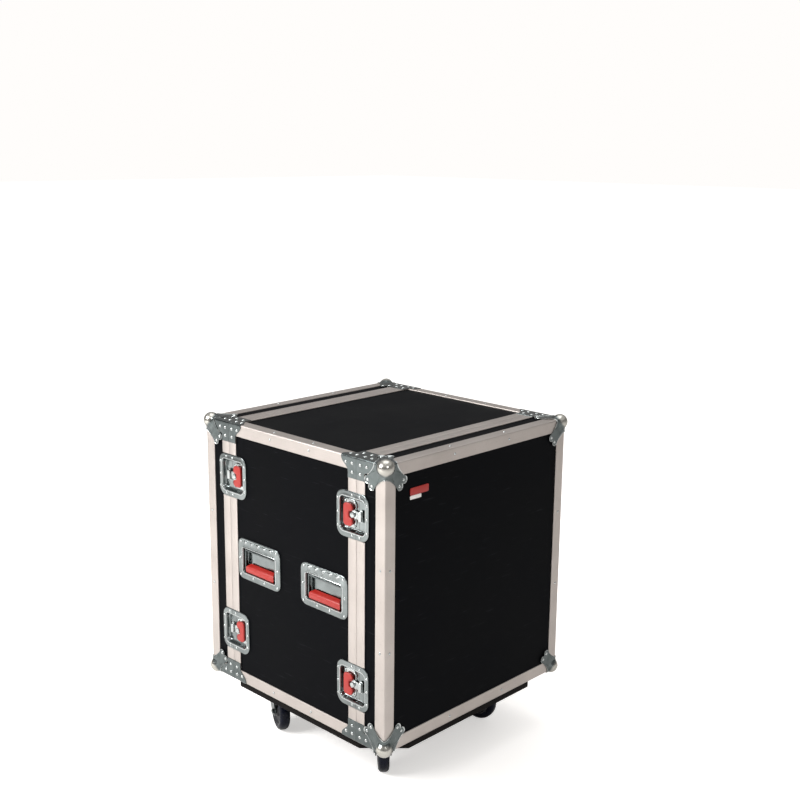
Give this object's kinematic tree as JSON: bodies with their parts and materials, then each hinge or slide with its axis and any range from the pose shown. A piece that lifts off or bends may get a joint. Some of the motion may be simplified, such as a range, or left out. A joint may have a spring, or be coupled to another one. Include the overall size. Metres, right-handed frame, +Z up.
{
  "type": "equipment rack case",
  "caption": "Wheeled flight case for rack equipment: laminated plywood body with lift-off lids, recessed latches and handles, ball corners and a sprung inner rack frame.",
  "frame": {"origin": "on the floor, under the middle of the case", "axes": "+Z up; -Y out through the front lid; +X to the right across the front lid"},
  "size_m": [0.646, 0.646, 0.826],
  "materials": {
    "black_laminate": "plywood faced with black textured laminate",
    "satin_aluminium": "satin extruded aluminium",
    "bright_zinc": "bright zinc-plated pressed steel",
    "red_plastic": "red moulded plastic over steel",
    "black_board": "plywood stained and sealed black",
    "wheel_rubber": "glossy blue-black moulded tread",
    "black_steel": "satin black powder coat"
  },
  "bodies": {
    "case": {"body_carcass": "black_laminate", "body_trim_frame": "satin_aluminium", "latch_dish_left_front_upper": "bright_zinc", "latch_dish_left_front_lower": "bright_zinc", "latch_dish_left_rear_upper": "bright_zinc", "latch_dish_left_rear_lower": "bright_zinc", "latch_dish_right_front_upper": "bright_zinc", "latch_dish_right_front_lower": "bright_zinc", "latch_dish_right_rear_upper": "bright_zinc", "latch_dish_right_rear_lower": "bright_zinc", "handle_dish_left_front": "bright_zinc", "handle_dish_left_rear": "bright_zinc", "handle_dish_right_front": "bright_zinc", "handle_dish_right_rear": "bright_zinc", "caster_board": "black_board", "rack_rail_left_front": "black_steel", "rack_rail_left_rear": "black_steel", "rack_rail_right_front": "black_steel", "rack_rail_right_rear": "black_steel", "inner_rack_frame": "black_steel"},
    "front_lid": {"front_lid_shell": "black_laminate", "front_lid_trim": "satin_aluminium", "ball_corner_left_front_upper": "bright_zinc", "ball_corner_left_front_lower": "bright_zinc", "ball_corner_right_front_upper": "bright_zinc", "ball_corner_right_front_lower": "bright_zinc"},
    "rear_lid": {"rear_lid_shell": "black_laminate", "rear_lid_trim": "satin_aluminium", "ball_corner_left_rear_upper": "bright_zinc", "ball_corner_left_rear_lower": "bright_zinc", "ball_corner_right_rear_upper": "bright_zinc", "ball_corner_right_rear_lower": "bright_zinc"},
    "wing_left_front_upper": {"latch_wing_left_front_upper": "red_plastic"},
    "hook_left_front_upper": {"latch_hook_left_front_upper": "bright_zinc"},
    "wing_left_front_lower": {"latch_wing_left_front_lower": "red_plastic"},
    "hook_left_front_lower": {"latch_hook_left_front_lower": "bright_zinc"},
    "wing_left_rear_upper": {"latch_wing_left_rear_upper": "red_plastic"},
    "hook_left_rear_upper": {"latch_hook_left_rear_upper": "bright_zinc"},
    "wing_left_rear_lower": {"latch_wing_left_rear_lower": "red_plastic"},
    "hook_left_rear_lower": {"latch_hook_left_rear_lower": "bright_zinc"},
    "wing_right_front_upper": {"latch_wing_right_front_upper": "red_plastic"},
    "hook_right_front_upper": {"latch_hook_right_front_upper": "bright_zinc"},
    "wing_right_front_lower": {"latch_wing_right_front_lower": "red_plastic"},
    "hook_right_front_lower": {"latch_hook_right_front_lower": "bright_zinc"},
    "wing_right_rear_upper": {"latch_wing_right_rear_upper": "red_plastic"},
    "hook_right_rear_upper": {"latch_hook_right_rear_upper": "bright_zinc"},
    "wing_right_rear_lower": {"latch_wing_right_rear_lower": "red_plastic"},
    "hook_right_rear_lower": {"latch_hook_right_rear_lower": "bright_zinc"},
    "grip_left_front": {"handle_grip_left_front": "red_plastic"},
    "grip_left_rear": {"handle_grip_left_rear": "red_plastic"},
    "grip_right_front": {"handle_grip_right_front": "red_plastic"},
    "grip_right_rear": {"handle_grip_right_rear": "red_plastic"},
    "fork_left_front": {"caster_fork_left_front": "bright_zinc"},
    "wheel_left_front": {"caster_wheel_left_front": "wheel_rubber"},
    "fork_left_rear": {"caster_fork_left_rear": "bright_zinc"},
    "wheel_left_rear": {"caster_wheel_left_rear": "wheel_rubber"},
    "fork_right_front": {"caster_fork_right_front": "bright_zinc"},
    "wheel_right_front": {"caster_wheel_right_front": "wheel_rubber"},
    "fork_right_rear": {"caster_fork_right_rear": "bright_zinc"},
    "wheel_right_rear": {"caster_wheel_right_rear": "wheel_rubber"}
  },
  "joints": [
    {"name": "front_lid_pull", "type": "slide", "parent": "case", "child": "front_lid", "axis": [0, -1, 0], "range_m": [0, 0.3]},
    {"name": "rear_lid_pull", "type": "slide", "parent": "case", "child": "rear_lid", "axis": [0, 1, 0], "range_m": [0, 0.3]},
    {"name": "wing_turn_left_front_upper", "type": "hinge", "parent": "case", "child": "wing_left_front_upper", "pos_m": [-0.312, -0.208, 0.6825], "axis": [-1, 0, 0], "range_deg": [0, 180]},
    {"name": "hook_slide_left_front_upper", "type": "slide", "parent": "case", "child": "hook_left_front_upper", "axis": [0, -1, 0], "range_m": [0, 0.0101]},
    {"name": "wing_turn_left_front_lower", "type": "hinge", "parent": "case", "child": "wing_left_front_lower", "pos_m": [-0.312, -0.208, 0.2825], "axis": [-1, 0, 0], "range_deg": [0, 180]},
    {"name": "hook_slide_left_front_lower", "type": "slide", "parent": "case", "child": "hook_left_front_lower", "axis": [0, -1, 0], "range_m": [0, 0.0101]},
    {"name": "wing_turn_left_rear_upper", "type": "hinge", "parent": "case", "child": "wing_left_rear_upper", "pos_m": [-0.312, 0.208, 0.6825], "axis": [-1, 0, 0], "range_deg": [0, 180]},
    {"name": "hook_slide_left_rear_upper", "type": "slide", "parent": "case", "child": "hook_left_rear_upper", "axis": [0, 1, 0], "range_m": [0, 0.0101]},
    {"name": "wing_turn_left_rear_lower", "type": "hinge", "parent": "case", "child": "wing_left_rear_lower", "pos_m": [-0.312, 0.208, 0.2825], "axis": [-1, 0, 0], "range_deg": [0, 180]},
    {"name": "hook_slide_left_rear_lower", "type": "slide", "parent": "case", "child": "hook_left_rear_lower", "axis": [0, 1, 0], "range_m": [0, 0.0101]},
    {"name": "wing_turn_right_front_upper", "type": "hinge", "parent": "case", "child": "wing_right_front_upper", "pos_m": [0.312, -0.208, 0.6825], "axis": [1, 0, 0], "range_deg": [0, 180]},
    {"name": "hook_slide_right_front_upper", "type": "slide", "parent": "case", "child": "hook_right_front_upper", "axis": [0, -1, 0], "range_m": [0, 0.0101]},
    {"name": "wing_turn_right_front_lower", "type": "hinge", "parent": "case", "child": "wing_right_front_lower", "pos_m": [0.312, -0.208, 0.2825], "axis": [1, 0, 0], "range_deg": [0, 180]},
    {"name": "hook_slide_right_front_lower", "type": "slide", "parent": "case", "child": "hook_right_front_lower", "axis": [0, -1, 0], "range_m": [0, 0.0101]},
    {"name": "wing_turn_right_rear_upper", "type": "hinge", "parent": "case", "child": "wing_right_rear_upper", "pos_m": [0.312, 0.208, 0.6825], "axis": [1, 0, 0], "range_deg": [0, 180]},
    {"name": "hook_slide_right_rear_upper", "type": "slide", "parent": "case", "child": "hook_right_rear_upper", "axis": [0, 1, 0], "range_m": [0, 0.0101]},
    {"name": "wing_turn_right_rear_lower", "type": "hinge", "parent": "case", "child": "wing_right_rear_lower", "pos_m": [0.312, 0.208, 0.2825], "axis": [1, 0, 0], "range_deg": [0, 180]},
    {"name": "hook_slide_right_rear_lower", "type": "slide", "parent": "case", "child": "hook_right_rear_lower", "axis": [0, 1, 0], "range_m": [0, 0.0101]},
    {"name": "grip_swing_left_front", "type": "hinge", "parent": "case", "child": "grip_left_front", "pos_m": [-0.306, -0.116, 0.5035], "axis": [0, 1, 0], "range_deg": [0, 90], "stiffness_Nm_per_rad": 0.35, "springref_deg": -11.46},
    {"name": "grip_swing_left_rear", "type": "hinge", "parent": "case", "child": "grip_left_rear", "pos_m": [-0.306, 0.116, 0.5035], "axis": [0, 1, 0], "range_deg": [0, 90], "stiffness_Nm_per_rad": 0.35, "springref_deg": -11.46},
    {"name": "grip_swing_right_front", "type": "hinge", "parent": "case", "child": "grip_right_front", "pos_m": [0.306, -0.116, 0.5035], "axis": [0, -1, 0], "range_deg": [0, 90], "stiffness_Nm_per_rad": 0.35, "springref_deg": -11.46},
    {"name": "grip_swing_right_rear", "type": "hinge", "parent": "case", "child": "grip_right_rear", "pos_m": [0.306, 0.116, 0.5035], "axis": [0, -1, 0], "range_deg": [0, 90], "stiffness_Nm_per_rad": 0.35, "springref_deg": -11.46},
    {"name": "caster_swivel_left_front", "type": "hinge", "parent": "case", "child": "fork_left_front", "pos_m": [-0.198, -0.198, 0.11], "axis": [0, 0, 1], "continuous": true},
    {"name": "wheel_roll_left_front", "type": "hinge", "parent": "fork_left_front", "child": "wheel_left_front", "pos_m": [-0.17103, -0.16846, 0.05], "axis": [-0.7385, 0.6743, 0], "continuous": true},
    {"name": "caster_swivel_left_rear", "type": "hinge", "parent": "case", "child": "fork_left_rear", "pos_m": [-0.198, 0.198, 0.11], "axis": [0, 0, 1], "continuous": true},
    {"name": "wheel_roll_left_rear", "type": "hinge", "parent": "fork_left_rear", "child": "wheel_left_rear", "pos_m": [-0.21427, 0.16146, 0.05], "axis": [0.9135, -0.4067, 0], "continuous": true},
    {"name": "caster_swivel_right_front", "type": "hinge", "parent": "case", "child": "fork_right_front", "pos_m": [0.198, -0.198, 0.11], "axis": [0, 0, 1], "continuous": true},
    {"name": "wheel_roll_right_front", "type": "hinge", "parent": "fork_right_front", "child": "wheel_right_front", "pos_m": [0.19243, -0.15839, 0.05], "axis": [-0.9903, -0.1392, 0], "continuous": true},
    {"name": "caster_swivel_right_rear", "type": "hinge", "parent": "case", "child": "fork_right_rear", "pos_m": [0.198, 0.198, 0.11], "axis": [0, 0, 1], "continuous": true},
    {"name": "wheel_roll_right_rear", "type": "hinge", "parent": "fork_right_rear", "child": "wheel_right_rear", "pos_m": [0.23559, 0.21168, 0.05], "axis": [-0.342, 0.9397, 0], "continuous": true}
  ],
  "couplings": [
    {"joint": "hook_slide_left_front_upper", "follows": "wing_turn_left_front_upper", "m_per_rad": 0.0031831},
    {"joint": "hook_slide_left_front_lower", "follows": "wing_turn_left_front_lower", "m_per_rad": 0.0031831},
    {"joint": "hook_slide_left_rear_upper", "follows": "wing_turn_left_rear_upper", "m_per_rad": 0.0031831},
    {"joint": "hook_slide_left_rear_lower", "follows": "wing_turn_left_rear_lower", "m_per_rad": 0.0031831},
    {"joint": "hook_slide_right_front_upper", "follows": "wing_turn_right_front_upper", "m_per_rad": 0.0031831},
    {"joint": "hook_slide_right_front_lower", "follows": "wing_turn_right_front_lower", "m_per_rad": 0.0031831},
    {"joint": "hook_slide_right_rear_upper", "follows": "wing_turn_right_rear_upper", "m_per_rad": 0.0031831},
    {"joint": "hook_slide_right_rear_lower", "follows": "wing_turn_right_rear_lower", "m_per_rad": 0.0031831}
  ]
}
